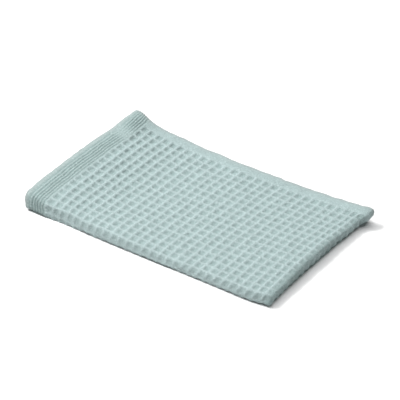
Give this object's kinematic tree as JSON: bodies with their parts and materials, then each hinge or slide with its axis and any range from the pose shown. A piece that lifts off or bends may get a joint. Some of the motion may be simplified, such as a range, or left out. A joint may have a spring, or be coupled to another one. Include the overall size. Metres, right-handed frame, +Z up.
{
  "type": "folded waffle weave guest towel",
  "caption": "Small cotton towel in waffle weave with ribbed hems and plain selvages, folded across and then along into a low stack, one hem corner lifted.",
  "frame": {"origin": "middle of the folded towel's box, on the surface that it lies on", "axes": "+X from the hems to the cross fold, +Y from the long fold to the selvages, +Z up"},
  "size_m": [0.2502, 0.16, 0.028],
  "materials": {
    "waffle_cotton": "matt woven cotton, pale seafoam green"
  },
  "bodies": {
    "root": {"towel": "waffle_cotton"}
  },
  "joints": []
}
